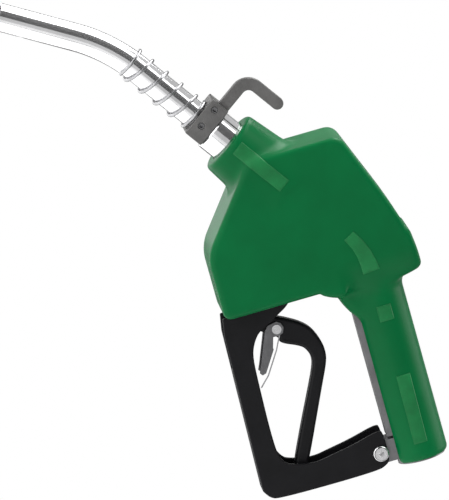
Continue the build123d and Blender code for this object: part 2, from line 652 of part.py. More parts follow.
def make_clip():
    with BuildPart() as clip:
        for side in (-1, 1):
            plate(CLIP_PLATE, 1.4, side * 7.8)
        plate([(-112.5, -86.2), (-96, -96.8), (-96.6, -98.2), (-113.1, -87.6)], 2 * 8.5)
        cross_rod(CLIP_X, CLIP_Z, PIN_R + RUNNING, -10, 10, CUT)
    save(clip, "hold_open_clip")
    with BuildPart() as clip_rivet:
        cross_rod(CLIP_X, CLIP_Z, PIN_R, -9.2, 9.2)
        for side in (-1, 1):
            near = 8.6 if side > 0 else -8.6
            cross_rod(CLIP_X, CLIP_Z, 3.6, near, near + side * 1.2)
    save(clip_rivet, "clip_rivet")
    with BuildPart() as clip_spring:
        with BuildSketch(Plane.XZ.offset(6.1)) as turns:
            with Locations((CLIP_X, CLIP_Z)):
                Circle(4.0)
                Circle(3.0, mode=CUT)
        extrude(turns.sketch, amount=0.9)
        plate([
            (-124.5, -77.2), (-110.7, -84.0), (-93.7, -95.0), (-86.0, -102.7),
            (-86.6, -103.3), (-94.3, -95.7), (-111.2, -84.7), (-124.9, -78.0),
        ], 0.9, 6.55)
    save(clip_spring, "clip_spring")


def make_inlet_strainer():
    with BuildPart() as strainer:
        turn(HANDLE_AXIS, on_handle, [
            (-INLET_DEPTH - STRAINER_LIP, 9.6), (-INLET_DEPTH - STRAINER_LIP, STRAINER_R),
            (-INLET_DEPTH - 0.1, STRAINER_R), (-INLET_DEPTH - 0.1, 8.4),
            (-INLET_DEPTH - 24, 6.4), (-INLET_DEPTH - 25, 0),
            (-INLET_DEPTH - 26, 0), (-INLET_DEPTH - 25, 7.4),
        ])
    save(strainer, "inlet_strainer")


os.makedirs("parts", exist_ok=True)
save(make_cover(), "cover")
save(make_body(), "body_casting")
make_spout()
make_anchor_spring()
make_collar()
make_main_valve()
make_latch()
make_check_valve()
make_guard()
make_lever()
make_clip()
make_inlet_strainer()
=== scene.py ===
"""Looks of an automatic fuel nozzle, built round its packed CAD model and laid out as an add-on."""
import json
import math

import bmesh
import bpy
import numpy as np
from mathutils import Matrix, Vector
from mathutils.bvhtree import BVHTree


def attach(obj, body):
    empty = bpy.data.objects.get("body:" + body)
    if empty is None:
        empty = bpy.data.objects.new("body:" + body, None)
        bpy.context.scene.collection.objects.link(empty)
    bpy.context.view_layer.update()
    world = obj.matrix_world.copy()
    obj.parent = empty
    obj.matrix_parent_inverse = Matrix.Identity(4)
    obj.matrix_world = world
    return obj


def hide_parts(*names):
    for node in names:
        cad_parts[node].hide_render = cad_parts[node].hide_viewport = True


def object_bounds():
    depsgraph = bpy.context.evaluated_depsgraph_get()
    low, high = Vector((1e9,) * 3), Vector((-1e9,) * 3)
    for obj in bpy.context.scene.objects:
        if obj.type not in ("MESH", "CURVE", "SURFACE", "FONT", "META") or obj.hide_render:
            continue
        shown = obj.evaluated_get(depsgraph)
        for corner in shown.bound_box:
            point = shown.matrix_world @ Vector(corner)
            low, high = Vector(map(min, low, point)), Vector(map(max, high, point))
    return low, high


bl_info = {
    "name": "Fuel nozzle looks",
    "version": (1, 0, 0),
    "blender": (4, 5, 0),
    "location": "View3D > Sidebar > Nozzle",
    "description": "Cover, spring, guard, lever, finishes and stage of a fuel nozzle",
    "category": "Object",
}

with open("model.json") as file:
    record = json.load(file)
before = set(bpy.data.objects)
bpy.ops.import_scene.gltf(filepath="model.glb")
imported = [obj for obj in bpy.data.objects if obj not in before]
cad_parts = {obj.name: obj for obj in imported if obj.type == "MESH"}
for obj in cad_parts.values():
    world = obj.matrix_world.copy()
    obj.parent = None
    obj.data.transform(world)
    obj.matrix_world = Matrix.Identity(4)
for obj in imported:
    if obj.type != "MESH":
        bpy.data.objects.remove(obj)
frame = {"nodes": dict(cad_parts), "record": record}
CAD_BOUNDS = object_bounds()
MM = 0.001
SLOPE = math.radians(35.0)
NOSE = np.array((-math.cos(SLOPE), 0.0, -math.sin(SLOPE)))      # spout axis, out of the cover
NOSE_UP = np.array((-math.sin(SLOPE), 0.0, math.cos(SLOPE)))    # across it, in the side view
MOUTH = np.array((-274.0, 0.0, -77.6))                          # centre of the cover's mouth, mm
RIVET_X, RIVET_Z = -13.5, -29.6         # guard rivet in the handle lug, mm
PIVOT_X, PIVOT_Z = -199.0, -98.0        # lever pin, mm
YOKE_R = 5.6                            # lever's end round its pin, mm
GUARD_HALF, GUARD_PLATE = 14.0, 3.0     # half width and sheet of the hand guard, mm
SLOT_HALF = 12.0                        # half width of the cover's slot along the handle, mm
WAY_OUT_HALF = 14.5                     # half width of the cover's way out for the guard, mm
SMOOTH_TURN = math.radians(38)          # shallower turns than this shade smoothly on the cover


# ---- settings ---------------------------------------------------------------------------------
def size(name, default, description, top=1.0):
    return bpy.props.FloatProperty(
        name=name, description=description, default=default, min=0.0, max=top, precision=5,
        subtype="DISTANCE", unit="LENGTH",
    )


def colour(name, default, description):
    return bpy.props.FloatVectorProperty(
        name=name, description=description, default=default, size=3, min=0.0, max=1.0, subtype="COLOR"
    )


class NozzleSettings(bpy.types.PropertyGroup):
    cover_voxel: size("Cover grid", 0.0013, "Spacing of the cover's surface grid")
    cover_wall: size("Cover wall", 0.0026, "Thickness of the slip-on cover")
    panel_raise: size("Panel height", 0.0009, "How far the blank panels stand off the cover")
    spring_wire: size("Spring wire", 0.0024, "Wire of the anchor spring")
    spring_radius: size("Spring radius", 0.01215, "Anchor spring, axis to the wire's centre")
    spring_pitch: size("Spring pitch", 0.0142, "Anchor spring, one open turn")
    thread_pitch: size("Thread pitch", 0.00181, "Inlet thread, one turn")
    rim: size("Rim", 0.0006, "Softened edge of the sheet metal")
    green: colour("Green", (0.0, 0.110, 0.030), "Vinyl cover")
    black: colour("Black", (0.006, 0.006, 0.007), "Powder coat of the guard and lever")
    floor: colour("Floor", (0.92, 0.92, 0.92), "Plain floor")


def settings():
    return bpy.context.scene.nozzle_settings


# ---- materials -------------------------------------------------------------------------------
def node(tree, kind, **values):
    made = tree.nodes.new(kind)
    for key, value in values.items():
        if key in made.inputs:
            made.inputs[key].default_value = value
        else:
            setattr(made, key, value)
    return made


def noise(tree, coords, scale, detail=4.0, stretch=(1, 1, 1)):
    mapping = node(tree, "ShaderNodeMapping")
    mapping.inputs["Scale"].default_value = stretch
    tree.links.new(coords, mapping.inputs["Vector"])
    made = node(tree, "ShaderNodeTexNoise", Scale=scale, Detail=detail, Roughness=0.6)
    tree.links.new(mapping.outputs["Vector"], made.inputs["Vector"])
    return made.outputs["Fac"]


def mapped(tree, value, low, high, new_low, new_high):
    made = node(tree, "ShaderNodeMapRange")
    for key, number in zip(("From Min", "From Max", "To Min", "To Max"), (low, high, new_low, new_high)):
        made.inputs[key].default_value = number
    tree.links.new(value, made.inputs["Value"])
    return made.outputs["Result"]


def mixed(tree, factor, first, second):
    made = node(tree, "ShaderNodeMix", data_type="RGBA")
    tree.links.new(factor, made.inputs["Factor"])
    for socket, value in (("A", first), ("B", second)):
        target = [i for i in made.inputs if i.name == socket and i.type == "RGBA"][0]
        if isinstance(value, bpy.types.NodeSocket):
            tree.links.new(value, target)
        else:
            target.default_value = (*value[:3], 1.0)
    return [o for o in made.outputs if o.type == "RGBA"][0]


def shade(base, amount):
    """A darker (under 1) or lighter (over 1) version of a colour."""
    return tuple(min(1.0, c * amount) for c in base)


def finish(
    name, base, metallic, rough, spread, cloud, grain, bump, streaks=0.0, coat=0.0, wear=None, shine=0.5
):
    """A finish with cloudy colour, fine grain, drawn streaks or scratches, and worn or dusty spots.

    rough is the middle roughness and spread its range; cloud and grain are noise scales per metre;
    bump is the grain's height in metres; streaks adds long fine marks; wear is the colour of the spots."""
    made = bpy.data.materials.new(name)
    made.use_nodes = True
    tree = made.node_tree
    shader = tree.nodes["Principled BSDF"]
    coords = node(tree, "ShaderNodeTexCoord").outputs["Object"]
    clouds = noise(tree, coords, cloud)
    fine = noise(tree, coords, grain, 3.0)
    lines = noise(tree, coords, grain * 0.35, 2.0, (0.04, 1.0, 1.0))
    spots = noise(tree, coords, cloud * 7.0, 8.0)
    tone = mixed(tree, mapped(tree, clouds, 0.35, 0.65, 0.0, 1.0), shade(base, 0.86), shade(base, 1.12))
    tone = mixed(tree, mapped(tree, lines, 0.45, 0.8, 0.0, streaks), tone, shade(base, 0.7))
    tone = mixed(tree, mapped(tree, spots, 0.66, 0.78, 0.0, 0.35), tone, wear or shade(base, 0.75))
    tree.links.new(tone, shader.inputs["Base Color"])
    lift = node(tree, "ShaderNodeMath", operation="ADD", use_clamp=True)
    tree.links.new(mapped(tree, fine, 0.3, 0.7, rough - spread, rough + spread), lift.inputs[0])
    tree.links.new(mapped(tree, spots, 0.6, 0.8, 0.0, 0.12), lift.inputs[1])
    tree.links.new(lift.outputs[0], shader.inputs["Roughness"])
    height = node(tree, "ShaderNodeMath", operation="ADD")
    tree.links.new(fine, height.inputs[0])
    tree.links.new(mapped(tree, lines, 0.4, 0.7, 0.0, streaks * 2.0), height.inputs[1])
    relief = node(tree, "ShaderNodeBump", Strength=1.0, Distance=bump)
    tree.links.new(height.outputs[0], relief.inputs["Height"])
    tree.links.new(relief.outputs["Normal"], shader.inputs["Normal"])
    shader.inputs["Metallic"].default_value = metallic
    shader.inputs["Specular IOR Level"].default_value = shine
    shader.inputs["Coat Weight"].default_value = coat
    shader.inputs["Coat Roughness"].default_value = 0.18
    return made


def make_finishes():
    green, black = tuple(settings().green), tuple(settings().black)
    panel = shade((0.004, green[1], green[2]), 1.25)
    rows = [
        ("green_vinyl", green, 0.0, 0.34, 0.05, 9, 2600, 0.000012, 0.05, 0.0, (0.0, 0.13, 0.042), 0.1),
        ("green_panel", panel, 0.0, 0.5, 0.05, 60, 1300, 0.00005, 0.05, 0.0, (0.004, 0.15, 0.055), 0.2),
        # cast_aluminium is set far darker than bare aluminium: the metal's own grey plus painted shade for
        # the strip of casting seen down the cover's slot
        ("cast_aluminium", (0.20, 0.20, 0.205), 1.0, 0.46, 0.08, 60, 1500, 0.00005, 0.1),
        ("chrome_plate", (0.80, 0.80, 0.81), 1.0, 0.10, 0.03, 20, 900, 0.000003, 0.10),
        ("spring_steel", (0.42, 0.42, 0.43), 1.0, 0.24, 0.05, 80, 2200, 0.00001, 0.25),
        ("blasted_steel", (0.14, 0.138, 0.136), 0.75, 0.46, 0.06, 70, 2600, 0.00004, 0.25, 0.0,
         (0.3, 0.3, 0.3)),
        ("black_coating", black, 0.0, 0.36, 0.06, 60, 1600, 0.00003, 0.0, 0.05, (0.02, 0.02, 0.02), 0.12),
        ("bright_steel", (0.70, 0.70, 0.71), 1.0, 0.22, 0.06, 70, 1900, 0.00001, 0.3),
        ("dark_steel", (0.16, 0.16, 0.165), 1.0, 0.32, 0.07, 90, 1900, 0.00002, 0.3, 0.0, (0.3, 0.3, 0.3)),
        ("hard_steel", (0.58, 0.58, 0.59), 1.0, 0.16, 0.05, 70, 2200, 0.000005, 0.3),
        ("brass", (0.66, 0.47, 0.17), 1.0, 0.26, 0.06, 60, 1700, 0.00001, 0.35),
        ("black_rubber", (0.018, 0.018, 0.018), 0.0, 0.62, 0.08, 50, 1800, 0.00003),
    ]
    return {row[0]: finish(*row) for row in rows}


FINISH = {}


def finish_of(slot_name):
    if not FINISH:
        FINISH.update(make_finishes())
    return FINISH[slot_name]


# ---- mesh helpers ------------------------------------------------------------------------------
def new_object(name, mesh):
    made = bpy.data.objects.new(name, mesh)
    bpy.context.scene.collection.objects.link(made)
    return made


def mesh_of(name, points, faces):
    mesh = bpy.data.meshes.new(name)
    mesh.from_pydata([tuple(p) for p in points], [], faces)
    mesh.update()
    return mesh


def baked(obj):
    """The object's evaluated mesh as a plain mesh on a fresh object; the old object goes."""
    name = obj.name
    depsgraph = bpy.context.evaluated_depsgraph_get()
    mesh = bpy.data.meshes.new_from_object(obj.evaluated_get(depsgraph), depsgraph=depsgraph)
    bpy.data.objects.remove(obj)
    mesh.name = name
    return new_object(name, mesh)


def outward(obj):
    shape = bmesh.new()
    shape.from_mesh(obj.data)
    bmesh.ops.recalc_face_normals(shape, faces=shape.faces)
    shape.to_mesh(obj.data)
    shape.free()
    return obj


def prism(name, outline, y_low, y_high):
    """A solid cut from side-view points in mm, between two distances across."""
    n = len(outline)
    points = [(x * MM, y * MM, z * MM) for y in (y_low, y_high) for x, z in outline]
    faces = [list(range(n)), list(range(2 * n - 1, n - 1, -1))]
    faces += [[i, n + i, n + (i + 1) % n, (i + 1) % n] for i in range(n)]
    return outward(new_object(name, mesh_of(name, points, faces)))


def frustum(name, start, end, r_start, r_end, sides=64):
    """A round solid between two points in mm."""
    start, end = Vector(start), Vector(end)
    shape = bmesh.new()
    bmesh.ops.create_cone(
        shape, cap_ends=True, segments=sides,
        radius1=r_start * MM, radius2=r_end * MM, depth=(end - start).length * MM,
    )
    turn = (end - start).to_track_quat("Z", "Y").to_matrix().to_4x4()
    shape.transform(Matrix.Translation((start + end) / 2 * MM) @ turn)
    mesh = bpy.data.meshes.new(name)
    shape.to_mesh(mesh)
    shape.free()
    return new_object(name, mesh)


def joined(name, objects):
    shape = bmesh.new()
    for obj in objects:
        shape.from_mesh(obj.data)
    mesh = bpy.data.meshes.new(name)
    shape.to_mesh(mesh)
    shape.free()
    for obj in objects:
        bpy.data.objects.remove(obj)
    return new_object(name, mesh)


def cut(obj, tool):
    """obj less tool; tool goes."""
    step = obj.modifiers.new("cut", "BOOLEAN")
    step.operation, step.solver, step.object = "DIFFERENCE", "MANIFOLD", tool
    result = baked(obj)
    bpy.data.objects.remove(tool)
    if not result.data.polygons:
        raise RuntimeError(f"nothing left of {result.name}")
    return result


def softened(obj, width, angle=35.0, segments=2):
    """Round the sharp edges and keep the flats flat."""
    edge = obj.modifiers.new("edge", "BEVEL")
    edge.width, edge.segments, edge.limit_method = width, segments, "ANGLE"
    edge.angle_limit, edge.use_clamp_overlap, edge.miter_outer = math.radians(angle), False, "MITER_ARC"
    for face in obj.data.polygons:
        face.use_smooth = True
    flat = obj.modifiers.new("flat", "WEIGHTED_NORMAL")
    flat.keep_sharp, flat.weight = True, 90
    return baked(obj)


def rounded(outline, passes=3, keep=()):
    """Cut the corners of an outline; corners listed in keep stay."""
    for _ in range(passes):
        fresh = []
        for i, here in enumerate(outline):
            before, after = outline[i - 1], outline[(i + 1) % len(outline)]
            if here in keep:
                fresh.append(here)
                continue
            for other in (before, after):
                fresh.append(tuple(h * 0.75 + o * 0.25 for h, o in zip(here, other)))
        outline = fresh
    return outline


def dress(obj, slot_name, body, *nodes):
    """Give a finished piece its finish, its body and the CAD nodes it stands for."""
    obj.data.materials.clear()
    obj.data.materials.append(finish_of(slot_name))
    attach(obj, body)
    if nodes:
        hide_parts(*nodes)
    return obj


def cad_copy(node_name, name, width):
    """The CAD node's shape with its seams welded, its flats merged and its edges softened."""
    shape = bmesh.new()
    shape.from_mesh(frame["nodes"][node_name].data)
    bmesh.ops.remove_doubles(shape, verts=shape.verts, dist=1e-6)
    bmesh.ops.dissolve_limit(shape, angle_limit=math.radians(1.0), verts=shape.verts, edges=shape.edges)
    mesh = bpy.data.meshes.new(name)
    shape.to_mesh(mesh)
    shape.free()
    return softened(new_object(name, mesh), width)


# ---- the cover's surface as a distance field, in mm ----------------------------------------------
def larger(a, b, k):
    """The larger of two distances, rounded off over k mm where they meet."""
    h = np.maximum(k - np.abs(a - b), 0) / k
    return np.maximum(a, b) + h * h * k / 4


def smaller(a, b, k):
    """The smaller of two distances, rounded off over k mm where they meet."""
    return -larger(-a, -b, k)


def convex(p, corners, k):
    """Rounded extrusion outline: the largest distance to the sides of a clockwise convex outline."""
    field = None
    for i, (x0, z0) in enumerate(corners):
        x1, z1 = corners[(i + 1) % len(corners)]
        length = math.hypot(x1 - x0, z1 - z0)
        side = ((p[:, 0] - x0) * -(z1 - z0) + (p[:, 2] - z0) * (x1 - x0)) / length
        field = side if field is None else larger(field, side, k)
    return field


BLOCK = [(-259, 3), (-178, 35.5), (-166, 38), (-147, 38), (-147, -116.5), (-198, -116.5), (-259, -69)]
BACK = [(-178, 35.5), (-166, 38), (-145, 38), (-139, 20), (-139, -30), (-147, -44), (-178, -44)]
THROAT = [(-150, -5), (-112, -5), (-116, -17), (-124, -25), (-134, -30), (-145, -33), (-150, -33)]
HALF = 31.0
GRIP_R = 21.0


def cover_field(p):
    """Distance of points in mm from the cover's surface, less than nothing inside."""
    across = np.abs(p[:, 1]) - HALF
    block = larger(convex(p, BLOCK, 7.0), across, 4.5)
    body = np.minimum(block, larger(convex(p, BACK, 5.0), across, 4.5))
    flank = (p[:, 0] + 155.0) * 0.5255 + across * 0.8508
    body = larger(body, smaller(flank, (p[:, 2] + 20.0 - across * 0.5) * 0.8, 8.0), 6.0)
    along = (p - MOUTH) @ NOSE
    radial = np.hypot((p - MOUTH) @ NOSE_UP, p[:, 1])
    neck = (radial - 25.0 + along * 0.077) * 0.997
    neck = larger(larger(neck, along, 4.0), -52.0 - along, 2.0)
    body = smaller(body, neck, 7.0)
    grip = larger(np.hypot(p[:, 1], p[:, 2]) - GRIP_R, p[:, 0] + 0.5, 5.0)
    grip = larger(grip, -165.0 - p[:, 0], 2.0)
    throat = larger(convex(p, THROAT, 5.0), np.abs(p[:, 1]) - 18.0, 9.0)
    return smaller(smaller(body, grip, 9.0), throat, 4.0)


def slide_to(points, level, neighbours):
    """Settle points on the field's level, evening them out over the surface."""
    first, second = neighbours
    count = np.bincount(np.concatenate((first, second)), minlength=len(points))[:, None]
    for step in range(9):
        if step in (2, 4, 6):
            total = np.zeros_like(points)
            np.add.at(total, first, points[second])
            np.add.at(total, second, points[first])
            points = points * 0.5 + total / count * 0.5
        value = cover_field(points) - level
        slope = np.stack([
            (cover_field(points + shift) - cover_field(points - shift)) / 0.2
            for shift in np.eye(3) * 0.1
        ], axis=1)
        length = np.maximum((slope ** 2).sum(1), 0.25)
        points = points - slope * (value / length)[:, None]
    return points


def cover_solid(name, voxel, level):
    """A closed solid on one level of the cover's field."""
    shapes = [
        prism("a", BLOCK, -HALF, HALF), prism("b", BACK, -HALF, HALF), prism("c", THROAT, -18, 18),
        frustum("d", MOUTH, MOUTH - NOSE * 52, 25, 29),
        frustum("e", (-0.5, 0, 0), (-165, 0, 0), GRIP_R, GRIP_R),
    ]
    rough = joined(name, shapes)
    grid = rough.modifiers.new("grid", "REMESH")
    grid.mode, grid.voxel_size, grid.use_smooth_shade = "VOXEL", voxel, True
    solid = baked(rough)
    mesh = solid.data
    points = np.empty(len(mesh.vertices) * 3)
    mesh.vertices.foreach_get("co", points)
    edges = np.empty(len(mesh.edges) * 2, int)
    mesh.edges.foreach_get("vertices", edges)
    points = slide_to(points.reshape(-1, 3) / MM, level, (edges[::2], edges[1::2])) * MM
    mesh.vertices.foreach_set("co", points.ravel())
    mesh.update()
    return solid


def blank_panel(name, centre_line, half_widths, surface, lift):
    """A thin raised blank panel that follows the cover's near side, along side-view points in mm."""
    line = np.array(centre_line, float)
    steps = np.concatenate(([0], np.cumsum(np.hypot(*np.diff(line, axis=0).T))))
    along = np.linspace(0, steps[-1], max(8, int(steps[-1] / 0.9)))
    path = np.stack([np.interp(along, steps, line[:, i]) for i in (0, 1)], axis=1)
    heading = np.gradient(path, axis=0)
    heading /= np.hypot(*heading.T)[:, None]
    wide = np.interp(along, steps, np.linspace(*half_widths, len(line)))
    across = np.linspace(-1, 1, 17)
    top, low = [], []
    rows, columns = len(along), len(across)
    for i in range(rows):
        for j in range(columns):
            x, z = path[i] + np.array((-heading[i][1], heading[i][0])) * wide[i] * across[j]
            hit, normal, _, _ = surface.ray_cast(Vector((x * MM, -0.2, z * MM)), Vector((0, 1, 0)))
            if hit is None:
                raise RuntimeError(f"{name} runs off the cover")
            rim = i in (0, rows - 1) or j in (0, columns - 1)
            top.append(hit + normal * (lift * (0.35 if rim else 1.0)))
            low.append(hit - normal * 0.0007)
    n = rows * columns
    faces = []
    for i in range(rows - 1):
        for j in range(columns - 1):
            a, b = i * columns + j, (i + 1) * columns + j
            faces.append([a, b, b + 1, a + 1])
            faces.append([n + a + 1, n + b + 1, n + b, n + a])
    ring = list(range(columns))
    ring += [i * columns + columns - 1 for i in range(1, rows)]
    ring += [(rows - 1) * columns + j for j in range(columns - 2, -1, -1)]
    ring += [i * columns for i in range(rows - 2, 0, -1)]
    faces += [[a, b, n + b, n + a] for a, b in zip(ring, ring[1:] + ring[:1])]
    return outward(new_object(name, mesh_of(name, top + low, faces)))


PANELS = [      # side-view centre lines and half widths at their two ends
    ("neck_panel", [(-271, -72.5), (-234.5, -46.5)], (5.6, 5.4)),
    ("side_panel", [(-184.3, -10), (-176, -5.4), (-168, -2.6), (-160, -1.2), (-153, -0.6)], (4.7, 6.6)),
    ("grip_small_panel", [(-124, 1.5), (-112, 1.5)], (5.5, 5.5)),
    ("grip_panel", [(-68.6, 1.9), (-14.5, 1.2)], (5.4, 5.2)),
]


def build_cover():
    s = settings()
    solid = cover_solid("cover_skin", s.cover_voxel, 0.0)
    places, faces = [v.co for v in solid.data.vertices], [p.vertices for p in solid.data.polygons]
    tree = BVHTree.FromPolygons(places, faces)
    panels = [blank_panel(name, line, widths, tree, s.panel_raise) for name, line, widths in PANELS]
    solid = cut(solid, cover_solid("hollow", 0.0026, -s.cover_wall / MM))
    solid = cut(solid, frustum("mouth", MOUTH + NOSE * 2, MOUTH - NOSE * 6, 16.8, 16.8))
    solid = cut(solid, frustum("hand_end", (3, 0, 0), (-6, 0, 0), GRIP_R - 2.6, GRIP_R - 2.6))
    slot = [(-150, -60), (5, -60), (5, -14), (-150, -14)]
    solid = cut(solid, prism("slot", slot, -SLOT_HALF, SLOT_HALF))
    way_out = [(-152, -113.5), (-140, -113.5), (-140, -60), (-152, -60)]
    solid = cut(solid, prism("way_out", way_out, -WAY_OUT_HALF, WAY_OUT_HALF))
    wall_faces = len(solid.data.polygons)
    skin = joined("cover_skin", [solid, *panels])
    for face in skin.data.polygons:
        face.use_smooth = True
    skin.data.set_sharp_from_angle(angle=SMOOTH_TURN)
    dress(skin, "green_vinyl", "frame", "cover")
    skin.data.materials.append(finish_of("green_panel"))
    for index, face in enumerate(skin.data.polygons):
        face.material_index = int(index >= wall_faces)


# ---- geometry nodes: what repeats or follows a path ---------------------------------------------
def new_tree(name, inputs):
    """A Geometry Nodes tree with named inputs; inputs is (name, socket type) pairs."""
    tree = bpy.data.node_groups.new(name, "GeometryNodeTree")
    tree.interface.new_socket("Geometry", in_out="INPUT", socket_type="NodeSocketGeometry")
    for label, kind in inputs:
        tree.interface.new_socket(label, in_out="INPUT", socket_type=kind)
    tree.interface.new_socket("Geometry", in_out="OUTPUT", socket_type="NodeSocketGeometry")
    return tree, tree.nodes.new("NodeGroupInput"), tree.nodes.new("NodeGroupOutput")


def maths(tree, operation, a, b=None):
    made = tree.nodes.new("ShaderNodeMath")
    made.operation = operation
    for socket, value in zip(made.inputs, (a, b)):
        if isinstance(value, bpy.types.NodeSocket):
            tree.links.new(value, socket)
        elif value is not None:
            socket.default_value = value
    return made.outputs[0]


def close_tree(tree, geometry, material, out):
    real = tree.nodes.new("GeometryNodeRealizeInstances")
    paint = tree.nodes.new("GeometryNodeSetMaterial")
    tree.links.new(geometry, real.inputs["Geometry"])
    tree.links.new(real.outputs["Geometry"], paint.inputs["Geometry"])
    tree.links.new(material, paint.inputs["Material"])
    tree.links.new(paint.outputs["Geometry"], out.inputs["Geometry"])


def coil_tree():
    """A wire coil up +Z with closed ends: pitch eases to the end pitch over the closed turns."""
    tree, given, out = new_tree("wire_coil", [
        ("Turns", "NodeSocketFloat"), ("Closed Turns", "NodeSocketFloat"), ("Radius", "NodeSocketFloat"),
        ("Pitch", "NodeSocketFloat"), ("End Pitch", "NodeSocketFloat"), ("Wire Radius", "NodeSocketFloat"),
        ("Steps", "NodeSocketInt"), ("Wire Sides", "NodeSocketInt"), ("Material", "NodeSocketMaterial"),
    ])
    spiral = tree.nodes.new("GeometryNodeCurveSpiral")
    tree.links.new(given.outputs["Steps"], spiral.inputs["Resolution"])
    tree.links.new(given.outputs["Turns"], spiral.inputs["Rotations"])
    for end in ("Start Radius", "End Radius"):
        tree.links.new(given.outputs["Radius"], spiral.inputs[end])
    spiral.inputs["Height"].default_value = 0.0
    factor = tree.nodes.new("GeometryNodeSplineParameter").outputs["Factor"]
    turn = maths(tree, "MULTIPLY", factor, given.outputs["Turns"])
    last = maths(tree, "SUBTRACT", given.outputs["Turns"], given.outputs["Closed Turns"])
    open_turns = maths(tree, "MINIMUM", maths(tree, "MAXIMUM", turn, given.outputs["Closed Turns"]), last)
    open_turns = maths(tree, "SUBTRACT", open_turns, given.outputs["Closed Turns"])
    step = maths(tree, "SUBTRACT", given.outputs["Pitch"], given.outputs["End Pitch"])
    rise = maths(tree, "ADD", maths(tree, "MULTIPLY", open_turns, step),
                 maths(tree, "MULTIPLY", turn, given.outputs["End Pitch"]))
    offset = tree.nodes.new("ShaderNodeCombineXYZ")
    tree.links.new(rise, offset.inputs["Z"])
    lift = tree.nodes.new("GeometryNodeSetPosition")
    tree.links.new(spiral.outputs["Curve"], lift.inputs["Geometry"])
    tree.links.new(offset.outputs["Vector"], lift.inputs["Offset"])
    circle = tree.nodes.new("GeometryNodeCurvePrimitiveCircle")
    tree.links.new(given.outputs["Wire Sides"], circle.inputs["Resolution"])
    tree.links.new(given.outputs["Wire Radius"], circle.inputs["Radius"])
    sweep = tree.nodes.new("GeometryNodeCurveToMesh")
    sweep.inputs["Fill Caps"].default_value = True
    tree.links.new(lift.outputs["Geometry"], sweep.inputs["Curve"])
    tree.links.new(circle.outputs["Curve"], sweep.inputs["Profile Curve"])
    close_tree(tree, sweep.outputs["Mesh"], given.outputs["Material"], out)
    return tree


def row_tree():
    """Copies of one object at even steps along a line."""
    tree, given, out = new_tree("row_of_copies", [
        ("Object", "NodeSocketObject"), ("Count", "NodeSocketInt"), ("Start", "NodeSocketVector"),
        ("Step", "NodeSocketVector"), ("Material", "NodeSocketMaterial"),
    ])
    line = tree.nodes.new("GeometryNodeMeshLine")
    for source, socket in (("Count", "Count"), ("Start", "Start Location"), ("Step", "Offset")):
        tree.links.new(given.outputs[source], line.inputs[socket])
    info = tree.nodes.new("GeometryNodeObjectInfo")
    tree.links.new(given.outputs["Object"], info.inputs["Object"])
    copies = tree.nodes.new("GeometryNodeInstanceOnPoints")
    tree.links.new(line.outputs["Mesh"], copies.inputs["Points"])
    tree.links.new(info.outputs["Geometry"], copies.inputs["Instance"])
    close_tree(tree, copies.outputs["Instances"], given.outputs["Material"], out)
    return tree


def grown(name, tree, values, place=None):
    """The tree's result, baked into a plain mesh and set in place."""
    carrier = new_object(name, bpy.data.meshes.new(name))
    step = carrier.modifiers.new("grow", "NODES")
    step.node_group = tree
    for item in tree.interface.items_tree:
        if item.in_out == "INPUT" and item.name in values:
            step[item.identifier] = values[item.name]
    result = baked(carrier)
    if place is not None:
        result.data.transform(place)
    for face in result.data.polygons:
        face.use_smooth = True
    return outward(result)


def along(start, direction, turned=0.0):
    """The placement that takes +Z to a direction at a point in mm."""
    aim = Vector(direction).to_track_quat("Z", "Y").to_matrix().to_4x4()
    return Matrix.Translation(Vector(start) * MM) @ aim @ Matrix.Rotation(turned, 4, "Z")


def build_spring():
    s = settings()
    spring = grown("anchor_spring_wire", coil_tree(), {
        "Turns": 5.45, "Closed Turns": 0.6, "Radius": s.spring_radius, "Pitch": s.spring_pitch,
        "End Pitch": s.spring_wire * 1.02, "Wire Radius": s.spring_wire / 2, "Steps": 56, "Wire Sides": 14,
        "Material": finish_of("spring_steel"),
    }, along(MOUTH + NOSE * 32.1, NOSE, math.radians(100)))
    return dress(spring, "spring_steel", "frame", "anchor_spring")


def build_thread():
    s = settings()
    thread = grown("inlet_thread", bpy.data.node_groups["wire_coil"], {
        "Turns": 9.0, "Closed Turns": 0.0, "Radius": 0.0120, "Pitch": s.thread_pitch,
        "End Pitch": s.thread_pitch, "Wire Radius": 0.0005, "Steps": 64, "Wire Sides": 4,
        "Material": finish_of("cast_aluminium"),
    }, along((-17.2, 0, 0), (1, 0, 0)))
    return dress(thread, "cast_aluminium", "frame")


# ---- screws, sheet metal, lever ------------------------------------------------------------------
def turned(name, profile, start, direction, sides=64):
    """A solid of revolution from (radius, height) points in mm."""
    points, faces = [], []
    inner = [p for p in profile if p[0] > 0]
    for radius, height in inner:
        for k in range(sides):
            a = 2 * math.pi * k / sides
            points.append((radius * math.cos(a) * MM, radius * math.sin(a) * MM, height * MM))
    for i in range(len(inner) - 1):
        for k in range(sides):
            a, b = i * sides + k, i * sides + (k + 1) % sides
            faces.append([a, b, b + sides, a + sides])
    faces += [list(range(sides - 1, -1, -1)), list(range((len(inner) - 1) * sides, len(inner) * sides))]
    made = new_object(name, mesh_of(name, points, faces))
    made.data.transform(along(start, direction))
    for face in made.data.polygons:
        face.use_smooth = True
    made.data.set_sharp_from_angle(angle=math.radians(50))
    return outward(made)


def socket_head(name, radius, depth, hexagon, sink):
    """A headless screw's outer end with a hexagon socket; its face is at y = 0 and it runs to +Y, in mm."""
    body = frustum(name, (0, 0, 0), (0, depth, 0), radius, radius, 48)
    tool = frustum("key", (0, -1, 0), (0, sink, 0), hexagon, hexagon, 6)
    return softened(cut(body, tool), 0.00025, 50)


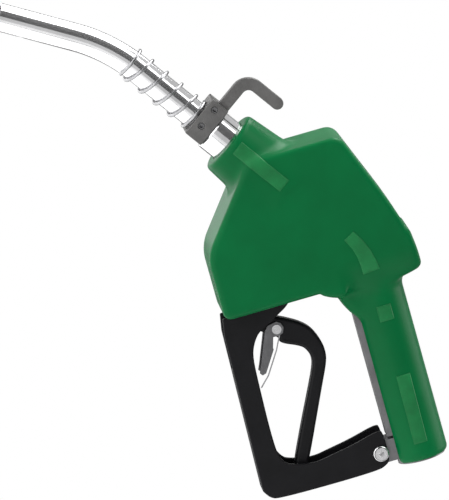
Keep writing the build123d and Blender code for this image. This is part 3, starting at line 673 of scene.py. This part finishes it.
def build_collar_screws():
    near = softened(socket_head("screw_end", 2.45, 4.0, 1.45, 2.2), 0.0001, 60)
    upper = MOUTH + NOSE * 24.5 + NOSE_UP * 13.2 + np.array((0, -14.4, 0))
    lower = MOUTH + NOSE * 24.5 + NOSE_UP * -2.4 + np.array((0, -14.4, 0))
    screws = grown("collar_screws", row_tree(), {
        "Object": near, "Count": 2, "Start": [v * MM for v in upper], "Step": [v * MM for v in lower - upper],
        "Material": finish_of("dark_steel"),
    })
    bpy.data.objects.remove(near)
    for face in screws.data.polygons:
        face.use_smooth = False
    return dress(screws, "dark_steel", "frame", "collar_set_screws")


def build_collar():
    for name in ("collar", "hang_up_hook"):
        dress(cad_copy(name, name + "_skin", settings().rim), "blasted_steel", "frame", name)


GUARD = [
    (-192, -64), (-147, -64), (-142, -69), (-138, -76.5), (-131.5, -88), (-129, -93.5), (-124, -98),
    (-115, -102.5), (-100, -104), (-37, -106), (-27.6, -101.7), (-24.6, -97), (-20.5, -80),
    (-23.1, -65), (-25.7, -49), (-31.4, -26), (-28, -24), (-8, -24), (-4, -27), (-1, -36), (-1.5, -113),
    (-4.5, -119.5), (-10.5, -123.2), (-134, -119.7), (-146.5, -117.5), (-146.5, -113), (-170, -112),
    (-192, -84),
]
GUARD_KEPT = [      # corners that stay sharp
    (-192, -64), (-147, -64), (-146.5, -117.5), (-146.5, -113), (-192, -84), (-10.5, -123.2), (-134, -119.7),
]
RIVET_HEAD = [(0.0, 0.0), (6.2, 0.0), (6.2, 0.7), (5.6, 1.6), (4.2, 2.3), (2.2, 2.65), (0.0, 2.7)]
RIVET_HOLE_R = 4.05
GUARD_INSIDE = [
    (-200, -50), (-200, -130), (-104, -130), (-104, -117.5), (-11, -120.1), (-6.8, -117.5),
    (-4.6, -112.5), (-4, -37), (10, -30), (10, -10), (-40, -10),
]


def build_guard():
    inside = GUARD_HALF - GUARD_PLATE
    guard = prism("hand_guard_skin", rounded(GUARD, 3, GUARD_KEPT), -GUARD_HALF, GUARD_HALF)
    guard = cut(guard, prism("inside", GUARD_INSIDE, -inside, inside))
    ends = [(RIVET_X, y, RIVET_Z) for y in (-20, 20)]
    guard = cut(guard, frustum("rivet_hole", *ends, RIVET_HOLE_R, RIVET_HOLE_R))
    dress(softened(guard, 0.0009, 40, 3), "black_coating", "frame", "hand_guard")
    for side in (-1, 1):
        head = turned("rivet_head", RIVET_HEAD, (RIVET_X, side * (GUARD_HALF + 0.05), RIVET_Z), (0, side, 0))
        dress(head, "chrome_plate", "frame")


LEVER = [
    (-199, -92.4), (-185, -91.7), (-150, -92), (-143, -90), (-138, -83), (-134.6, -76.1), (-131, -69.1),
    (-125.4, -60.3), (-118.9, -54.1), (-107.2, -49.4), (-98.2, -48.7), (-90.7, -50.4), (-73.1, -58.9),
    (-16, -85.6), (-12.4, -90.4), (-14.6, -96), (-20.2, -95.6), (-51.2, -80.9), (-68.7, -72.1),
    (-89.8, -61.7), (-97.4, -60.1), (-104.3, -62.2), (-108.5, -65.8), (-115, -80.8), (-119.5, -79.8),
    (-124, -88), (-134, -99), (-146, -104), (-199, -103.6),
]


def build_lever():
    bar = prism("lever_bar", rounded(LEVER, 3, [(-199, -92.4), (-199, -103.6)]), -6, 6)
    fork = prism("gap", [(-210, -108), (-188, -108), (-188, -88), (-210, -88)], -4.3, 4.3)
    bar = softened(cut(bar, fork), 0.0026, 40, 4)
    pieces = [bar]
    yoke = [(-199, -92.4), (-172, -92.2), (-172, -103.8), (-199, -103.6)]
    turns = np.linspace(0.2, math.pi - 0.2, 14)
    yoke += [(PIVOT_X - YOKE_R * math.sin(a), PIVOT_Z - YOKE_R * math.cos(a)) for a in turns]
    for side in (-1, 1):
        pieces.append(softened(prism("cheek", yoke, *sorted((side * 4.35, side * 8.5))), 0.0004, 40))
    dress(joined("lever_skin", pieces), "black_coating", "lever", "lever")


def build_clip():
    dress(cad_copy("hold_open_clip", "clip_skin", 0.0003), "dark_steel", "hold_open_clip", "hold_open_clip")


# ---- stage ------------------------------------------------------------------------------------------
VIEW_RIGHT = Vector((0.267, -0.083, 0.964)).normalized()
VIEW_FORWARD = Vector((0.183, 1.0, 0.036)).normalized()
VIEW_MIDDLE = Vector((-194.5, 0, -101.5)) * MM
VIEW_HEIGHT = 376.35            # of the middle plane that fills the view from top to bottom, mm
LENS, SENSOR = 600.0, 36.0      # long, so that the view is nearly parallel
FLOOR_DROP = 0.25               # the nozzle hangs by its inlet, this far clear of the floor
LAMPS = [       # name, place to the right of, above and nearer than the middle, power, width, height
    ("key", (0.9, 1.3, 0.9), 12.0, 1.2, 1.2),
    ("upper_edge", (0.5, 1.5, -0.35), 26.0, 1.6, 0.8),
    ("left_edge", (-1.5, 0.0, -0.3), 16.0, 0.8, 1.6),
    ("left_fill", (-1.6, 0.1, 0.7), 9.0, 0.9, 1.8),
    ("low_fill", (0.4, -1.5, 0.8), 4.0, 1.4, 0.8),
    ("over_floor", (1.8, 0.2, -0.3), 12.0, 1.2, 1.2),
]
CARDS = [       # name, place beyond the middle and across the spout, width, grey
    ("dark_card", -1.0, 0.75, 1.1, 0.08),
    ("edge_card", 0.7, -0.4, 0.7, 0.08),
    ("pale_card", 0.6, 0.3, 0.5, 0.3),
    ("grey_card", -1.0, -0.9, 0.9, 0.45),
]
CARD_HALF = 1.6                 # half length of a card, along the spout
WORLD_LIGHT, WORLD_SEEN = 0.62, 1.0     # strength as light, and as the backdrop


def plain_paint(name, tone, rough):
    made = bpy.data.materials.new(name)
    made.use_nodes = True
    shader = made.node_tree.nodes["Principled BSDF"]
    shader.inputs["Base Color"].default_value = (*tone, 1)
    shader.inputs["Roughness"].default_value = rough
    return made, shader


def lay_floor():
    low = CAD_BOUNDS[0].z - FLOOR_DROP
    corners = [(-20, -20, low), (20, -20, low), (20, 20, low), (-20, 20, low)]
    floor = new_object("floor", mesh_of("floor", corners, [[0, 1, 2, 3]]))
    paint, shader = plain_paint("floor_paint", settings().floor, 0.9)
    shader.inputs["Emission Color"].default_value = (1, 1, 1, 1)
    shader.inputs["Emission Strength"].default_value = 0.35
    floor.data.materials.append(paint)


def set_camera(right, up):
    distance = VIEW_HEIGHT * MM * LENS / SENSOR
    camera = bpy.data.objects.new("camera", bpy.data.cameras.new("camera"))
    camera.data.lens = LENS
    camera.data.clip_end = 50.0
    turn = Matrix((right, up, -VIEW_FORWARD)).transposed().to_4x4()
    camera.matrix_world = Matrix.Translation(VIEW_MIDDLE - VIEW_FORWARD * distance) @ turn
    bpy.context.scene.collection.objects.link(camera)
    bpy.context.scene.camera = camera


def hang_lamps(right, up):
    for name, place, power, width, height in LAMPS:
        light = bpy.data.objects.new(name, bpy.data.lights.new(name, "AREA"))
        light.data.shape, light.data.size, light.data.size_y = "RECTANGLE", width, height
        light.data.energy = power
        spot = VIEW_MIDDLE + right * place[0] + up * place[1] - VIEW_FORWARD * place[2]
        aim = (VIEW_MIDDLE - spot).to_track_quat("-Z", "Y").to_matrix().to_4x4()
        light.matrix_world = Matrix.Translation(spot) @ aim
        bpy.context.scene.collection.objects.link(light)


def light_world():
    """A white backdrop that lights the nozzle less than it shows."""
    world = bpy.data.worlds.new("studio")
    world.use_nodes = True
    back = world.node_tree.nodes["Background"]
    back.inputs["Color"].default_value = (1, 1, 1, 1)
    path = world.node_tree.nodes.new("ShaderNodeLightPath")
    level = node(world.node_tree, "ShaderNodeMapRange")
    level.inputs["To Min"].default_value, level.inputs["To Max"].default_value = WORLD_LIGHT, WORLD_SEEN
    world.node_tree.links.new(path.outputs["Is Camera Ray"], level.inputs["Value"])
    world.node_tree.links.new(level.outputs["Result"], back.inputs["Strength"])
    bpy.context.scene.world = world


def stand_cards():
    """Grey cards along the spout that only the bright metal sees."""
    spout = Vector(NOSE)
    across = VIEW_FORWARD.cross(spout).normalized()
    for name, beyond, side, width, grey in CARDS:
        corners = [(x * width / 2, y * CARD_HALF, 0) for x, y in ((-1, -1), (1, -1), (1, 1), (-1, 1))]
        card = new_object(name, mesh_of(name, corners, [[0, 1, 2, 3]]))
        spot = VIEW_MIDDLE + VIEW_FORWARD * beyond + across * side
        toward = (VIEW_MIDDLE - spot).normalized()
        flat = spout.cross(toward).normalized()
        turn = Matrix((flat, toward.cross(flat), toward)).transposed().to_4x4()
        card.matrix_world = Matrix.Translation(spot) @ turn
        card.data.materials.append(plain_paint(name + "_paint", (grey, grey, grey), 0.9)[0])
        card.visible_camera = card.visible_diffuse = card.visible_shadow = card.visible_transmission = False


def build_stage():
    right = (VIEW_RIGHT - VIEW_FORWARD * VIEW_RIGHT.dot(VIEW_FORWARD)).normalized()
    up = right.cross(VIEW_FORWARD)
    lay_floor()
    set_camera(right, up)
    hang_lamps(right, up)
    light_world()
    bpy.context.scene.view_settings.view_transform = "Standard"
    stand_cards()


def build_finishes():
    slots = {p["node"]: p["material_slot"] for p in frame["record"]["subparts"]}
    for name, obj in frame["nodes"].items():
        obj.data.materials.clear()
        obj.data.materials.append(finish_of(slots[name]))


# ---- operators, panel, main -------------------------------------------------------------------------
def operator(idname, label, doc, action):
    """An operator class that runs one builder."""
    def execute(self, context):
        action()
        return {"FINISHED"}

    return type(
        "NOZZLE_OT_" + idname, (bpy.types.Operator,),
        {"bl_idname": "nozzle." + idname, "bl_label": label, "__doc__": doc, "execute": execute},
    )


OPERATORS = [
    operator("finishes", "Finishes", "Paint every CAD node", build_finishes),
    operator("cover", "Cover", "Mould the slip-on cover with its blank panels", build_cover),
    operator("spring", "Anchor spring", "Wind the anchor spring on the spout", build_spring),
    operator("thread", "Inlet thread", "Cut the inlet thread's crests", build_thread),
    operator("collar", "Collar and hook", "Soften the collar and the hang-up hook", build_collar),
    operator("collar_screws", "Collar screws", "Fit the collar's socket screws", build_collar_screws),
    operator("guard", "Hand guard", "Fold the hand guard and set its rivet heads", build_guard),
    operator("lever", "Lever", "Shape the squeeze lever", build_lever),
    operator("clip", "Hold-open clip", "Soften the hold-open clip", build_clip),
    operator("stage", "Stage", "Lay the floor, hang the lights and set the camera", build_stage),
]


class NOZZLE_PT_panel(bpy.types.Panel):
    bl_label = "Fuel nozzle"
    bl_idname = "NOZZLE_PT_panel"
    bl_space_type = "VIEW_3D"
    bl_region_type = "UI"
    bl_category = "Nozzle"

    def draw(self, context):
        for name in NozzleSettings.__annotations__:
            self.layout.prop(context.scene.nozzle_settings, name)
        for made in OPERATORS:
            self.layout.operator(made.bl_idname)


CLASSES = [NozzleSettings, *OPERATORS, NOZZLE_PT_panel]


def register():
    for made in CLASSES:
        bpy.utils.register_class(made)
    bpy.types.Scene.nozzle_settings = bpy.props.PointerProperty(type=NozzleSettings)


def unregister():
    del bpy.types.Scene.nozzle_settings
    for made in reversed(CLASSES):
        bpy.utils.unregister_class(made)


def main():
    register()
    for made in OPERATORS:
        group, name = made.bl_idname.split(".")
        getattr(getattr(bpy.ops, group), name)()


if __name__ == "__main__":
    main()
